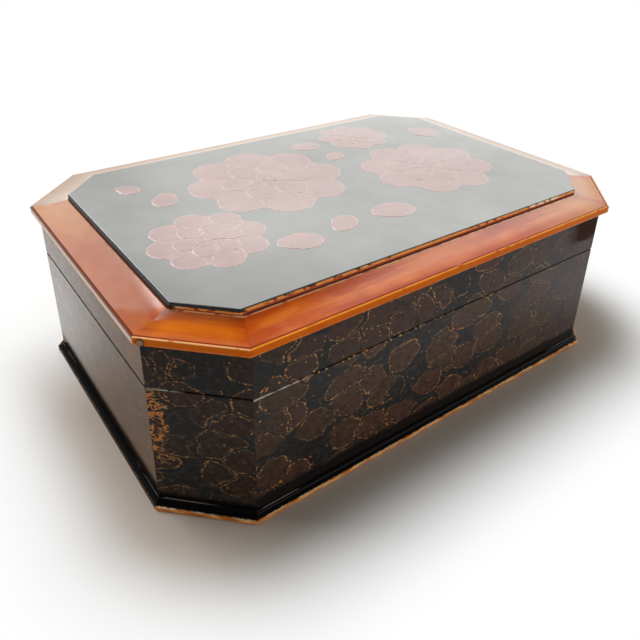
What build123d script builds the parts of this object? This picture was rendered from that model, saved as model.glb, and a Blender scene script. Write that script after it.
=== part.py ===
from build123d import *
import os
from math import radians, sqrt, tan

# A lacquered box with canted corners and a hinged lid, in millimetres.
# The origin is at the middle of the underside, X along the length, the front towards -Y, Z up.

# Body: the outside of the walls, which everything else is set from
BODY_LENGTH = 298.6
BODY_WIDTH = 208.0
BODY_CORNER_CUT = 32.9  # leg of the 45 degree cut at each corner
SEAM_HEIGHT = 67.7  # top of the body walls
WALL_THICKNESS = 10.0
WALL_CORNER_ROUND = 0.8
BODY_EDGE_ROUND = 0.5  # top outer edge of the body, at the seam

# Bottom board, let into a rebate of the walls
BOTTOM_THICKNESS = 6.0
BOTTOM_REBATE = 5.0

# Plinth round the foot
PLINTH_PROJECTION = 3.05
PLINTH_CORNER_PROJECTION = 3.95  # at the canted corners it stands out a little more
PLINTH_HEIGHT = 5.2
GILT_HEIGHT = 2.2  # upright gilt edge at the very foot
PLINTH_LIP_SHARE = 0.10  # small step above the gilt edge, of the projection
PLINTH_LEDGE_SHARE = 0.16  # narrow flat at the top, of the projection
PLINTH_HOLLOW_SHARE = 0.18  # depth of the hollow, of its chord
PLINTH_CORNER_ROUND = 0.8

# Lid walls
SEAM_GAP = 0.3
LID_WALL_HEIGHT = 24.2
LID_EDGE_ROUND = 1.0  # lower outer edge of the lid, at the seam

# Moulded frame on the lid walls
FRAME_OVERHANG = 3.7
FRAME_CORNER_OVERHANG = 4.45
FRAME_BAND = 24.0  # full width of a frame length
FRAME_EDGE_HEIGHT = 4.25  # upright outer edge
FRAME_LOWER_ROUND = 1.3
FRAME_ARRIS_ROUND = 0.7
FRAME_CORNER_ROUND = 3.0
CREST_INSET = 18.1  # top of the sloped face, from the outer edge
BEVEL_RISE = 2.5
BEVEL_HOLLOW = 0.5
CREST_WIDTH = 0.6
LEDGE_DROP = 1.2  # from the crest down to the ledge under the panel

# Raised panel
PANEL_SETBACK = 19.7  # from the frame's outer edge
PANEL_CORNER_SETBACK = 18.9
PANEL_THICKNESS = 4.15
PANEL_EDGE_ROUND = 0.6
PANEL_CORNER_ROUND = 1.4

# Pegs through the frame's mitres
PEG_RADIUS = 1.7
PEG_LENGTH = 14.0
PEG_FROM_CORNER = 3.5
PEG_DOME = 0.35

# Hinges at the back
HINGE_FROM_CORNER = 41.4  # from a corner of the back wall to the middle of the hinge
HINGE_LENGTH = 30.0
BARREL_RADIUS = 2.2
BARREL_COVER = 0.6  # from the barrel to the back face of the walls
BARREL_CLEARANCE = 0.4
KNUCKLE_GAP = 0.2
LEAF_THICKNESS = 1.2
LEAF_MARGIN = 0.8  # from the leaf to the inner face of the wall
PIN_RADIUS = 1.0
PIN_CLEARANCE = 0.05
PIN_END_ROUND = 0.4
STOP_BEVEL = 51.0  # degrees, on the lid and on the body, so that the lid stops past upright

# Hinge screws
SCREW_SPACING = 18.0
SCREW_LENGTH = 8.0
SCREW_RADIUS = 0.8
SCREW_HEAD_RADIUS = 1.5
SCREW_HEAD_DEPTH = 0.9
SCREW_SLOT_WIDTH = 0.4
SCREW_SLOT_DEPTH = 0.3

OVERRUN = 5.0  # how far cuts and blanks run past what they cut
MITRE_OVERRUN_SHARE = 0.2

# Worked out from the sizes above
LID_BASE = SEAM_HEIGHT + SEAM_GAP
FRAME_BASE = LID_BASE + LID_WALL_HEIGHT
FRAME_ARRIS = FRAME_BASE + FRAME_EDGE_HEIGHT
FRAME_CREST = FRAME_ARRIS + BEVEL_RISE
PANEL_BASE = FRAME_CREST - LEDGE_DROP
TOP = PANEL_BASE + PANEL_THICKNESS
AXIS_INSET = BARREL_RADIUS + BARREL_COVER
AXIS_Y = BODY_WIDTH / 2 - AXIS_INSET
AXIS_Z = SEAM_HEIGHT + SEAM_GAP / 2
LEAF_WIDTH = WALL_THICKNESS - AXIS_INSET - LEAF_MARGIN
RECESS_RADIUS = BARREL_RADIUS + BARREL_CLEARANCE
SCREW_Y = AXIS_Y - (RECESS_RADIUS + LEAF_WIDTH) / 2
HINGE_SPACING = BODY_LENGTH - 2 * (BODY_CORNER_CUT + HINGE_FROM_CORNER)
HINGE_X = {"left": -HINGE_SPACING / 2, "right": HINGE_SPACING / 2}

SIDES = ["front", "front_right", "right", "back_right", "back", "back_left", "left", "front_left"]
BACK_SIDES = ["back_left", "back", "back_right"]


def octagon(offset, corner_offset):
    """Corners of the body's outline, moved outwards by offset, and by corner_offset at the canted corners."""
    a = BODY_LENGTH / 2 + offset
    b = BODY_WIDTH / 2 + offset
    cut = BODY_CORNER_CUT + 2 * offset - sqrt(2) * corner_offset
    right_half = [(a - cut, -b), (a, -b + cut), (a, b - cut), (a - cut, b)]
    left_half = [(-x, -y) for x, y in right_half]
    around = [left_half[3]] + right_half + left_half[:3]
    return [Vector(x, y) for x, y in around]


def prism(corners, low, high, corner_round):
    """Upright block on an outline, with its upright edges rounded."""
    outline = FilletPolyline(*corners, radius=corner_round, close=True)
    return extrude(Pos(0, 0, low) * make_face(outline), high - low, dir=(0, 0, 1))


def corner_at(section, x, y):
    """The corner of a section nearest to a point."""
    return section.vertices().sort_by_distance((x, y, 0))[0]


def run_of(side, outline):
    """Start, end, direction and inward direction of one side of an outline."""
    start = outline[side]
    end = outline[(side + 1) % len(outline)]
    along = (end - start).normalized()
    return start, end, along, Vector(-along.Y, along.X)


def mitre_wedge(side, outer, inner):
    """Block between the two mitre planes of a side, which pass through the outer and inner corners."""
    nxt = (side + 1) % len(outer)
    corners = []
    for corner, reach in ((side, 1), (nxt, 1), (nxt, 0), (side, 0)):
        mitre = outer[corner] - inner[corner]
        past = MITRE_OVERRUN_SHARE if reach else -MITRE_OVERRUN_SHARE
        corners.append(inner[corner] + mitre * (reach + past))
    face = make_face(Polyline(*corners, close=True))
    return extrude(Pos(0, 0, -OVERRUN) * face, TOP + 2 * OVERRUN, dir=(0, 0, 1))


def mitred_length(section, side, outer, inner, corner_round):
    """A section run along one side, mitred at both ends and rounded at the outer corners.

    The section is drawn with x inwards from the outer outline and y upwards.
    """
    start, end, along, inward = run_of(side, outer)
    plane = Plane(origin=start - along * OVERRUN, x_dir=inward, z_dir=along)
    bar = extrude(plane * section, (end - start).length + 2 * OVERRUN, dir=along)
    rounded = prism(outer, -OVERRUN, TOP + OVERRUN, corner_round)
    return bar & mitre_wedge(side, outer, inner) & rounded


def body_wall_section():
    rebate = WALL_THICKNESS - BOTTOM_REBATE
    section = make_face(
        Polyline(
            (0, 0),
            (rebate, 0),
            (rebate, BOTTOM_THICKNESS),
            (WALL_THICKNESS, BOTTOM_THICKNESS),
            (WALL_THICKNESS, SEAM_HEIGHT),
            (0, SEAM_HEIGHT),
            close=True,
        )
    )
    return fillet(corner_at(section, 0, SEAM_HEIGHT), BODY_EDGE_ROUND)


def lid_wall_section():
    section = make_face(
        Polyline(
            (0, LID_BASE),
            (WALL_THICKNESS, LID_BASE),
            (WALL_THICKNESS, FRAME_BASE),
            (0, FRAME_BASE),
            close=True,
        )
    )
    return fillet(corner_at(section, 0, LID_BASE), LID_EDGE_ROUND)


def plinth_section(projection):
    """Upright gilt edge, small step, hollow and a narrow flat against the wall."""
    hollow_foot = (projection * PLINTH_LIP_SHARE, GILT_HEIGHT)
    hollow_top = (projection * (1 - PLINTH_LEDGE_SHARE), PLINTH_HEIGHT)
    chord = (Vector(*hollow_top) - Vector(*hollow_foot)).length
    hollow = SagittaArc(hollow_foot, hollow_top, -chord * PLINTH_HOLLOW_SHARE)
    rest = Polyline(
        hollow_top,
        (projection, PLINTH_HEIGHT),
        (projection, 0),
        (0, 0),
        (0, GILT_HEIGHT),
        hollow_foot,
    )
    return make_face(Curve() + [hollow, rest])


def frame_section():
    """Upright edge, hollow sloped face, crest, and the ledge that carries the panel."""
    ledge_start = CREST_INSET + CREST_WIDTH
    bevel = SagittaArc((0, FRAME_ARRIS), (CREST_INSET, FRAME_CREST), -BEVEL_HOLLOW)
    rest = Polyline(
        (CREST_INSET, FRAME_CREST),
        (ledge_start, FRAME_CREST),
        (ledge_start, PANEL_BASE),
        (FRAME_BAND, PANEL_BASE),
        (FRAME_BAND, FRAME_BASE),
        (0, FRAME_BASE),
        (0, FRAME_ARRIS),
    )
    section = make_face(Curve() + [bevel, rest])
    section = fillet(corner_at(section, 0, FRAME_BASE), FRAME_LOWER_ROUND)
    return fillet(corner_at(section, 0, FRAME_ARRIS), FRAME_ARRIS_ROUND)


def along_x(radius, length, x, y, z):
    """A rod along X."""
    return Pos(x, y, z) * Rot(0, 90, 0) * Cylinder(radius, length)


def stop_bevel(up):
    """Wedge cut behind the hinge axis, upwards in the lid and downwards in the body."""
    run = AXIS_INSET + OVERRUN
    rise = up * run * tan(radians(STOP_BEVEL))
    face = make_face(
        Polyline((AXIS_Y, AXIS_Z), (AXIS_Y + run, AXIS_Z), (AXIS_Y + run, AXIS_Z + rise), close=True)
    )
    return extrude(Plane.YZ * face, BODY_LENGTH / 2, both=True)


def leaf_plate(x, up):
    """Flat part of a hinge leaf, on the seam face of the wall it is let into."""
    face_z = LID_BASE if up > 0 else SEAM_HEIGHT
    centre = Pos(x, AXIS_Y - LEAF_WIDTH / 2, face_z + up * LEAF_THICKNESS / 2)
    return centre * Box(HINGE_LENGTH, LEAF_WIDTH, LEAF_THICKNESS)


def knuckle_spans(x):
    """Middle and length of the body leaf's two knuckles, and of the lid leaf's one between them."""
    third = HINGE_LENGTH / 3
    outer = third - KNUCKLE_GAP / 2
    shift = (HINGE_LENGTH - outer) / 2
    return {-1: [(x - shift, outer), (x + shift, outer)], 1: [(x, third - KNUCKLE_GAP)]}


def hinge_leaf(x, up):
    """One leaf: plate and knuckles, notched for the other leaf, bored for the pin and the screws."""
    spans = knuckle_spans(x)
    leaf = leaf_plate(x, up)
    for middle, length in spans[up]:
        leaf += along_x(BARREL_RADIUS, length, middle, AXIS_Y, AXIS_Z)
    for middle, length in spans[-up]:
        leaf -= along_x(RECESS_RADIUS, length + 2 * KNUCKLE_GAP, middle, AXIS_Y, AXIS_Z)
    bore = PIN_RADIUS + (PIN_CLEARANCE if up > 0 else 0)
    leaf -= along_x(bore, HINGE_LENGTH + OVERRUN, x, AXIS_Y, AXIS_Z)
    for screw in hinge_screw_blanks(x, up):
        leaf -= screw
    return leaf


def hinge_pin(x):
    pin = along_x(PIN_RADIUS, HINGE_LENGTH, x, AXIS_Y, AXIS_Z)
    return fillet(pin.edges().filter_by(GeomType.CIRCLE), PIN_END_ROUND)


def hinge_screw_blanks(x, up):
    """Countersunk screws of one leaf without their slots, heads flush with the seam face."""
    face_z = LID_BASE if up > 0 else SEAM_HEIGHT
    turn = Rot(180, 0, 0) if up > 0 else Rot(0, 0, 0)
    head = Pos(0, 0, -SCREW_HEAD_DEPTH / 2) * Cone(SCREW_RADIUS, SCREW_HEAD_RADIUS, SCREW_HEAD_DEPTH)
    shank = Pos(0, 0, -SCREW_LENGTH / 2) * Cylinder(SCREW_RADIUS, SCREW_LENGTH)
    screw = turn * (head + shank)
    return [Pos(x + dx, SCREW_Y, face_z) * screw for dx in (-SCREW_SPACING / 2, SCREW_SPACING / 2)]


def hinge_screws(up):
    """All the screws of the body leaves or of the lid leaves, slotted."""
    face_z = LID_BASE if up > 0 else SEAM_HEIGHT
    slot = Box(SCREW_SLOT_WIDTH, 2 * SCREW_HEAD_RADIUS, 2 * SCREW_SLOT_DEPTH)
    screws = []
    for x in HINGE_X.values():
        for screw in hinge_screw_blanks(x, up):
            middle = screw.center(CenterOf.BOUNDING_BOX)
            screws.append(screw - Pos(middle.X, middle.Y, face_z) * slot)
    return screws


def hinge_room(up):
    """Everything cut out of a back wall for the two hinges: barrel, leaves and screws."""
    cuts = []
    for x in HINGE_X.values():
        cuts.append(along_x(RECESS_RADIUS, HINGE_LENGTH + 2 * BARREL_CLEARANCE, x, AXIS_Y, AXIS_Z))
        cuts.append(leaf_plate(x, up))
        cuts += hinge_screw_blanks(x, up)
    return cuts


def walls(section, up):
    """The eight boards of the body or of the lid, by side."""
    outer = octagon(0, 0)
    inner = octagon(-WALL_THICKNESS, -WALL_THICKNESS)
    boards = {}
    for number, side in enumerate(SIDES):
        board = mitred_length(section, number, outer, inner, WALL_CORNER_ROUND)
        if side in BACK_SIDES:
            board -= stop_bevel(up)
        if side == "back":
            for cut in hinge_room(up):
                board -= cut
        boards[side] = board
    return boards


def plinth():
    """The eight lengths round the foot, by side."""
    outer = octagon(PLINTH_PROJECTION, PLINTH_CORNER_PROJECTION)
    inner = octagon(0, 0)
    lengths = {}
    for number, side in enumerate(SIDES):
        projection = PLINTH_CORNER_PROJECTION if "_" in side else PLINTH_PROJECTION
        length = mitred_length(plinth_section(projection), number, outer, inner, PLINTH_CORNER_ROUND)
        lengths[side] = length - prism(inner, -OVERRUN, TOP, WALL_CORNER_ROUND)
    return lengths


def frame_pegs():
    """One peg at each canted corner, through the mitre with the short side, with a domed end."""
    outline = octagon(FRAME_OVERHANG, FRAME_CORNER_OVERHANG)
    pegs = []
    for side in ("front_left", "front_right", "back_right", "back_left"):
        start, end, along, inward = run_of(SIDES.index(side), outline)
        at_start = side in ("front_left", "back_right")
        corner = start + along * PEG_FROM_CORNER if at_start else end - along * PEG_FROM_CORNER
        middle_z = FRAME_BASE + FRAME_EDGE_HEIGHT / 2
        plane = Plane(origin=(corner.X, corner.Y, middle_z), x_dir=along, z_dir=inward)
        shank = extrude(plane * Circle(PEG_RADIUS), PEG_LENGTH, dir=inward)
        dome = Pos(0, 0, -PEG_DOME / 2) * Cone(PEG_RADIUS - PEG_DOME, PEG_RADIUS, PEG_DOME)
        pegs.append((shank, shank + plane.location * dome))
    return pegs


def frame(pegs):
    """The eight moulded lengths on the lid walls, by side, bored for the pegs."""
    outer = octagon(FRAME_OVERHANG, FRAME_CORNER_OVERHANG)
    inner = octagon(FRAME_OVERHANG - FRAME_BAND, FRAME_CORNER_OVERHANG - FRAME_BAND)
    section = frame_section()
    lengths = {}
    for number, side in enumerate(SIDES):
        length = mitred_length(section, number, outer, inner, FRAME_CORNER_ROUND)
        for shank, _ in pegs:
            length -= shank
        lengths[side] = length
    return lengths


def top_panel():
    outline = octagon(FRAME_OVERHANG - PANEL_SETBACK, FRAME_CORNER_OVERHANG - PANEL_CORNER_SETBACK)
    panel = prism(outline, PANEL_BASE, TOP, PANEL_CORNER_ROUND)
    return fillet(panel.faces().sort_by(Axis.Z)[-1].edges(), PANEL_EDGE_ROUND)


def flat_board(offset, corner_offset, low, high):
    corners = octagon(offset, corner_offset)
    face = make_face(Polyline(*corners, close=True))
    return extrude(Pos(0, 0, low) * face, high - low, dir=(0, 0, 1))


def build():
    """Every piece by its name."""
    pieces = {}
    for side, board in walls(body_wall_section(), -1).items():
        pieces[f"body_wall_{side}"] = board
    for side, length in plinth().items():
        pieces[f"plinth_{side}"] = length
    bottom_offset = BOTTOM_REBATE - WALL_THICKNESS
    pieces["bottom_board"] = flat_board(bottom_offset, bottom_offset, 0, BOTTOM_THICKNESS)

    for side, board in walls(lid_wall_section(), 1).items():
        pieces[f"lid_wall_{side}"] = board
    pegs = frame_pegs()
    for side, length in frame(pegs).items():
        pieces[f"frame_{side}"] = length
    pieces["frame_corner_pegs"] = Compound(children=[peg for _, peg in pegs])
    opening = FRAME_OVERHANG - FRAME_BAND
    corner_opening = FRAME_CORNER_OVERHANG - FRAME_BAND
    pieces["lid_board"] = flat_board(opening, corner_opening, FRAME_BASE, PANEL_BASE)
    pieces["top_panel"] = top_panel()

    for hand, x in HINGE_X.items():
        pieces[f"{hand}_hinge_body_leaf"] = hinge_leaf(x, -1)
        pieces[f"{hand}_hinge_lid_leaf"] = hinge_leaf(x, 1)
        pieces[f"{hand}_hinge_pin"] = hinge_pin(x)
    pieces["body_leaf_screws"] = Compound(children=hinge_screws(-1))
    pieces["lid_leaf_screws"] = Compound(children=hinge_screws(1))
    return pieces


os.makedirs("parts", exist_ok=True)
for name, piece in build().items():
    export_step(piece, f"parts/{name}.step")
print(f"length {BODY_LENGTH + 2 * FRAME_OVERHANG:.1f} width {BODY_WIDTH + 2 * FRAME_OVERHANG:.1f} height {TOP:.1f}")
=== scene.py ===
from math import cos, pi, radians, sin, sqrt

import bmesh
import bpy
from mathutils import Matrix, Vector


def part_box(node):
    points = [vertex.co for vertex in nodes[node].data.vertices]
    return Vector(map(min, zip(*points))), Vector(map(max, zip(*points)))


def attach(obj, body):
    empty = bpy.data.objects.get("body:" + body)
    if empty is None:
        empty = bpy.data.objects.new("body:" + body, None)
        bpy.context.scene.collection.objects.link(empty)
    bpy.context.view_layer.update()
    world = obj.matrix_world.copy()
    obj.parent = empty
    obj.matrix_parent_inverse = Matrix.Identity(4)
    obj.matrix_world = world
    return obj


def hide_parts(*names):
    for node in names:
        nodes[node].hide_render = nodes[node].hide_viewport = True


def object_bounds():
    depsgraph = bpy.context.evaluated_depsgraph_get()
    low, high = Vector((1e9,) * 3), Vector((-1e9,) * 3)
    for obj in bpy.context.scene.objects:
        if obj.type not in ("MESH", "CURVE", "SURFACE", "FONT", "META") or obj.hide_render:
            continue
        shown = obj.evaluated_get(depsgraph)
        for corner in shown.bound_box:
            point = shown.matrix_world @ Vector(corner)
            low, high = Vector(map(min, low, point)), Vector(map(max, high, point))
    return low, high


# A lacquered box with canted corners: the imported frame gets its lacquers, gold and brass,
# and the lid's panel gets a flower inlay. Everything is in metres, in the frame's own axes.

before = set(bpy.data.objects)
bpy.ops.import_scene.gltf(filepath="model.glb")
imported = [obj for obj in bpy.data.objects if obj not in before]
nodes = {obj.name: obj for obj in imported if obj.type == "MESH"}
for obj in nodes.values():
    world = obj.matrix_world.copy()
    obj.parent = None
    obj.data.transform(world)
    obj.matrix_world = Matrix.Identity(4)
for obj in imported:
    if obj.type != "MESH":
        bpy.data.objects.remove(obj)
cad_low, cad_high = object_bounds()

MM = 0.001
RIGHT = Vector((1, 0, 0))
DEEP = Vector((0, 1, 0))
UP = Vector((0, 0, 1))
SIDES = ["front", "front_right", "right", "back_right", "back", "back_left", "left", "front_left"]
CANTED_SIDES = SIDES[1::2]
FAR_SIDES = SIDES[2:6]
SIDE_TURN = 45  # degrees from one side to the next
QUARTER = 2  # sides in a quarter of the way round


def mm(*distances, past=0.0):
    """Distances in millimetres as metres, or as places so far past another place."""
    return tuple(past + distance * MM for distance in distances)


def side_name(number):
    """A side of the box, counted from the front, and round again past the last one."""
    return SIDES[number % len(SIDES)]


def by_side(usual, canted=None, **named):
    """A value for each side: the usual one, or another on the canted sides and on those named."""
    values = {side: usual for side in SIDES}
    if canted is not None:
        values.update({side: canted for side in CANTED_SIDES})
    return {**values, **named}


def outward(number):
    """Level direction out of a side of the box, counted from the front."""
    angle = radians(SIDE_TURN * number - 90)
    return Vector((cos(angle), sin(angle), 0))


def lengthwise(number):
    """Level direction along a side, from left to right as seen from outside."""
    return outward(number + QUARTER)


def reach(node, direction):
    """How far a node goes from the middle of the box in a direction."""
    return max(vertex.co.dot(direction) for vertex in nodes[node].data.vertices)


def middle(values):
    """The middle between the least and the greatest of some numbers."""
    return (min(values) + max(values)) / 2


def half_span(values):
    """Half of the way from the least to the greatest of some numbers."""
    return (max(values) - min(values)) / 2


# Levels and outlines, read from the frame
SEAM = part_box("body_wall_front")[1].z
FRAME_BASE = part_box("frame_front")[0].z
PLINTH_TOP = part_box("plinth_front")[1].z
PANEL_LOW, PANEL_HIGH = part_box("top_panel")


def tone(red, green, blue):
    """A colour as it looks on screen, from 0 to 255, as a shader takes it."""
    linear = []
    for value in (red, green, blue):
        share = value / 255
        linear.append(share / 12.92 if share <= 0.04045 else ((share + 0.055) / 1.055) ** 2.4)
    return (*linear, 1.0)


class Wire:
    """The output of a node. Sums and products of wires add Math nodes, and | takes the greater of two."""

    def __init__(self, finish, socket):
        self.finish = finish
        self.socket = socket

    def maths(self, operation, *others):
        """A Math node on this wire and others, or on numbers."""
        return self.finish.node("Math", {"operation": operation}, dict(enumerate((self, *others))))

    def __add__(self, other):
        return self.maths("ADD", other)

    __radd__ = __add__

    def __mul__(self, other):
        return self.maths("MULTIPLY", other)

    __rmul__ = __mul__

    def __sub__(self, other):
        return self.maths("SUBTRACT", other)

    def __rsub__(self, other):
        return self.finish.node("Math", {"operation": "SUBTRACT"}, {0: other, 1: self})

    def __or__(self, other):
        return self.maths("MAXIMUM", other)

    def __abs__(self):
        return self.maths("ABSOLUTE")

    def step(self, pair):
        """A soft step: 0 at the pair's start and before it, 1 at its end and after it."""
        start, end = pair
        settings = {"interpolation_type": "SMOOTHSTEP"}
        return self.finish.node("MapRange", settings, {0: self, 1: start, 2: end})


def straight(across, up):
    """The straight distance that two distances at right angles make."""
    return (across * across + up * up).maths("SQRT")


class Finish:
    """A finish in the making: a node tree, and short ways to add what the lacquers need."""

    def __init__(self, name, world=None):
        self.owner = world or bpy.data.materials.new(name)
        self.owner.use_nodes = True
        self.tree = self.owner.node_tree
        self.shader = self.tree.nodes.get("Principled BSDF")
        self.place = self.node("TexCoord", output="Generated" if world else "Object")
        self.colour = None  # what is painted so far

    def node(self, kind, settings=None, inputs=None, output=0):
        """Any shader node: its settings are set first, then its sockets are given values or wires."""
        made = self.tree.nodes.new("ShaderNode" + kind)
        for name, value in (settings or {}).items():
            setattr(made, name, value)
        for name, value in (inputs or {}).items():
            self.feed(made.inputs[name], value)
        return Wire(self, made.outputs[output])

    def feed(self, socket, value):
        """Gives a socket a wire or a value of its own."""
        if isinstance(value, Wire):
            self.tree.links.new(value.socket, socket)
        else:
            socket.default_value = value

    def coat(self, **sockets):
        """Feeds the shader: base_color=..., coat_weight=... and so on."""
        for name, value in sockets.items():
            title = name.replace("_", " ").title().replace("Ior", "IOR")
            self.feed(self.shader.inputs[title], value)
        return self.owner

    def along(self, direction):
        """Distance along a direction, in metres."""
        inputs = {0: self.place, 1: direction}
        return self.node("VectorMath", {"operation": "DOT_PRODUCT"}, inputs, "Value")

    def point(self, x, y, z=0.0):
        """A place made of three distances."""
        return self.node("CombineXYZ", None, {0: x, 1: y, 2: z})

    def noise(self, place, size, detail=2.0, roughness=0.5, output="Fac"):
        """Cloudy noise with spots of about a size, from 0 to 1."""
        inputs = {"Vector": place, "Scale": 1 / size, "Detail": detail, "Roughness": roughness}
        return self.node("TexNoise", None, inputs, output)

    def waver(self, place, **noise):
        """The same noise about 0, from -0.5 to 0.5."""
        return self.noise(place, **noise) - 0.5

    def cells(self, place, size, feature="F1", output="Distance"):
        """Flat cells of about a size."""
        settings = {"voronoi_dimensions": "2D", "feature": feature}
        return self.node("TexVoronoi", settings, {"Vector": place, "Scale": 1 / size}, output)

    def lot(self, place, size):
        """A number from 0 to 1 drawn for each flat cell."""
        colour = self.cells(place, size, output="Color")
        return self.node("SeparateColor", None, {0: colour})

    def scattered(self, place, lot_place, pitch, spot, lots):
        """Spots in flat cells, in those whose lot, drawn at a place of its own, is high enough."""
        spots = self.cells(place, pitch).step(spot)
        return spots * self.lot(lot_place, pitch).step(lots)

    def stirred(self, place, size, amount):
        """A place moved about by noise, so that what is drawn on it wavers."""
        swirl = self.noise(place, size, output="Color")
        grey = (0.5, 0.5, 0.5)
        centred = self.node("VectorMath", {"operation": "SUBTRACT"}, {0: swirl, 1: grey})
        moved = self.node("VectorMath", {"operation": "SCALE"}, {0: centred, "Scale": amount})
        return self.node("VectorMath", {"operation": "ADD"}, {0: place, 1: moved})

    def mixed(self, mask, under, over):
        """A colour over another where the mask is 1."""
        return self.node("Mix", {"data_type": "RGBA"}, {0: mask, 6: under, 7: over}, output=2)

    def paint(self, mask, colour, share=1):
        """Lays a colour over what is painted so far, by its share, where the mask is 1."""
        self.colour = self.mixed(mask * share, self.colour, colour)

    def seen(self):
        """1 for what the camera, a gloss or a glass sees, 0 for what only lights."""
        seen = self.node("LightPath", output="Is Camera Ray")
        for name in ("Is Glossy Ray", "Is Transmission Ray"):
            seen = seen | self.node("LightPath", output=name)
        return seen

    def bump(self, height, depth):
        """Relief of a depth in metres where the height goes from 0 to 1."""
        return self.node("Bump", None, {"Distance": depth, "Height": height})


class SideFinish(Finish):
    """The finish of a piece on one side of the box, with the distances that its pattern lies on."""

    def __init__(self, lacquer, piece, number):
        self.number = number
        self.side = side_name(number)
        self.piece = piece
        super().__init__(f"{lacquer}_{self.side}")
        self.inset = self.behind(number)
        self.run = self.along(lengthwise(number))
        self.height = self.along(UP)

    def behind(self, number):
        """How far a place lies behind the outer face that this kind of piece has on a side."""
        direction = outward(number)
        return reach(f"{self.piece}_{side_name(number)}", direction) - self.along(direction)

    def from_left(self):
        """How far a place lies from the left end of the side."""
        return self.run + reach(f"{self.piece}_{self.side}", -lengthwise(self.number))


# How values are written from here on. A pair is where a soft step starts and where it ends.
# Spots have their pitch, then their size as a pair in shares of the pitch, then the pair of lots
# from which a cell gets one. A draw is the share of a distance that a pattern counts, so that it
# is drawn out along it. A share is how strongly a tone is laid on.

# Walls: black lacquer with brown pebbles in broken gold outlines

BLACK = (0.010, 0.009, 0.009, 1)
PLINTH_BLACK = (0.004, 0.0037, 0.004, 1)
INSIDE_BLACK = tone(30, 24, 22)
GROUND = (0.017, 0.016, 0.0145, 1)
PEBBLE_BROWN = (0.066, 0.027, 0.019, 1)
PEBBLE_OLIVE = (0.052, 0.029, 0.013, 1)
DUST_AND_SHEEN_GREY = (0.060, 0.046, 0.044, 1)
DUST_AND_SHEEN_BROWN = (0.150, 0.088, 0.052, 1)
UNDER_FRAME_REFLECTION_BROWN = tone(46, 23, 13)
GOLD = tone(190, 138, 78)
RUST_GOLD = tone(184, 102, 40)
ARRIS_HIGHLIGHT = tone(206, 196, 184)

PATTERN_SHIFT = 0.37  # metres of the pattern from one side of the box to the next
PATTERN_DRAW = 0.78

# The pebbles, in shares of their pitch
PEBBLE_PITCH = 15.5 * MM
PEBBLE_RADIUS = 0.45
PEBBLE_GROWTH = 0.15  # what the largest pebble has more
PEBBLE_GAP = 0.045
PEBBLE_ROUNDING = 0.12
PEBBLE_RIM = (0.06, -0.08)
PEBBLE_LOTS = (0.05, 0.06)
# how far the pebbles of the canted walls go towards black: painted shade
CANT_DARKER = 0.55


def pebbles(wall, flat):
    """Rounded pebbles with black gaps: how far out of a pebble a place is, and each pebble's lot."""
    bent = wall.stirred(flat, size=15 * MM, amount=11 * MM)
    drawn = wall.stirred(bent, size=3.5 * MM, amount=1.6 * MM)
    lot = wall.lot(drawn, PEBBLE_PITCH)
    disc = wall.cells(drawn, PEBBLE_PITCH) - PEBBLE_RADIUS - PEBBLE_GROWTH * lot
    gap = PEBBLE_GAP - wall.cells(drawn, PEBBLE_PITCH, "DISTANCE_TO_EDGE")
    return disc.maths("SMOOTH_MAX", gap, PEBBLE_ROUNDING), lot


# Gold: a line, dots and flecks on the pebbles' rims, flakes round them, and specks anywhere
LINE_RIM = (0.012, 0.0)
LINE_STRETCHES = (0.4, 0.6)
LINE_SHARE = 0.4
DOTS = (1.2 * MM, (0.38, 0.18), (0.3, 0.9))
DOT_RIM = (0.035, 0.015)
DOT_STRETCHES = (0.36, 0.5)
DOT_SHARE = 0.55
FLECK_SIZE = (0.52, 0.68)
FLECK_RIM = (0.034, 0.01)
FLAKES = (2.6 * MM, (0.24, 0.12), (0.72, 0.76))
FLAKE_CROWD = (0.56, 0.64)
FLAKE_RIM = (0.16, 0.08)
FLAKE_SHARE = 0.75
SPECKS = (3.2 * MM, (0.15, 0.07), (0.85, 0.9))
SPECK_SHARE = 0.5
GOLD_SHARE = by_side(1.0, canted=0.75, left=0.4)
RUSTY_CROWD = (0.45, 0.65)
RUSTY_SHARE = 0.5


def outline_gold(wall, flat, rim, crowd):
    """Gold in broken outlines round the pebbles, with flakes and specks between them."""
    from_rim = abs(rim)
    stretches = wall.noise(flat, size=16 * MM, detail=1)
    line = from_rim.step(LINE_RIM) * stretches.step(LINE_STRETCHES) * LINE_SHARE
    dot_place = wall.stirred(flat, size=2 * MM, amount=1.4 * MM)
    dots = wall.scattered(dot_place, dot_place, *DOTS) * from_rim.step(DOT_RIM)
    flecks = wall.noise(flat, size=1.3 * MM, roughness=0.6).step(FLECK_SIZE) * from_rim.step(FLECK_RIM)
    dots = (DOT_SHARE * dots | flecks) * stretches.step(DOT_STRETCHES)
    specks = wall.scattered(dot_place, dot_place, *SPECKS)
    flakes = wall.scattered(wall.stirred(flat, size=1.5 * MM, amount=1.6 * MM), dot_place, *FLAKES)
    flakes = flakes * crowd.step(FLAKE_CROWD) * from_rim.step(FLAKE_RIM) * FLAKE_SHARE
    return (line | dots | flakes | SPECK_SHARE * specks) * GOLD_SHARE[wall.side]


PATCH_RAGGED_BY = 14 * MM
PATCH_RAGGED_MIDDLE = 0.4
PATCH_WIDTH = mm(7.2, 6.3)
PATCH_FOOT = mm(24, 32)
PATCH_HEAD = mm(0, -0.5, past=SEAM)
PATCH_NET_MIDDLE = 0.52
PATCH_NET_LINE = (0.07, 0.025)
PATCH_HOLE_SIZE = (0.38, 0.52)
PATCH_SHARE = 0.9
PATCH_RUST = 0.75


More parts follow.
